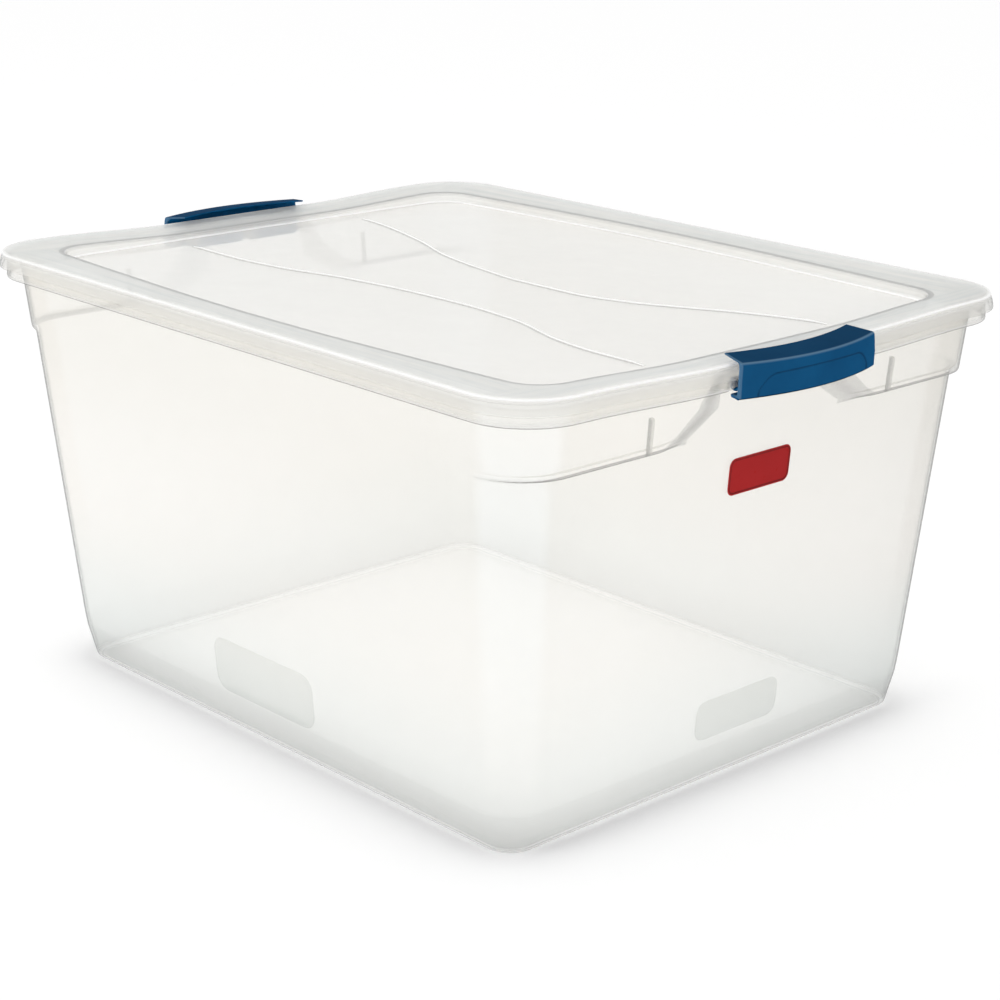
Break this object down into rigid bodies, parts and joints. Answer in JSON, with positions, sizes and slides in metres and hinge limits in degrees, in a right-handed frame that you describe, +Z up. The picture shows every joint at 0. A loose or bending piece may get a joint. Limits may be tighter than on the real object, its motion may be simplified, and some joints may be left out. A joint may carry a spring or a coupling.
{
  "type": "storage box with latching lid",
  "caption": "Deep clear plastic storage box: tapered tub, lift-off lid with a recessed panel, and a blue swinging latch handle on each short end.",
  "frame": {"origin": "middle of the base's underside, on the floor plane", "axes": "+Z up; +X towards the short end that carries the badge; +Y along the short ends, so both latch bars lie along Y"},
  "size_m": [0.6326, 0.4792, 0.3132],
  "materials": {
    "clear_tub": "translucent natural polypropylene, smooth outside, soft gloss",
    "clear_lid": "translucent natural polypropylene, slightly hazier than the tub",
    "blue_latch": "opaque deep blue polypropylene, satin gloss",
    "red_badge": "plain red label with rounded corners, blank, with a darker border"
  },
  "bodies": {
    "tub": {"tub": "clear_tub", "badge": "red_badge"},
    "lid": {"lid": "clear_lid"},
    "latch_near": {"latch_near": "blue_latch"},
    "latch_far": {"latch_far": "blue_latch"}
  },
  "joints": [
    {"name": "lid_lift", "type": "slide", "parent": "tub", "child": "lid", "axis": [0, 0, 1], "range_m": [0, 0.12]},
    {"name": "latch_near_swing", "type": "hinge", "parent": "tub", "child": "latch_near", "pos_m": [0.2865, 0, 0.2935], "axis": [0, 1, 0], "range_deg": [0, 95]},
    {"name": "latch_far_swing", "type": "hinge", "parent": "tub", "child": "latch_far", "pos_m": [-0.2865, 0, 0.2935], "axis": [0, -1, 0], "range_deg": [0, 95]}
  ]
}
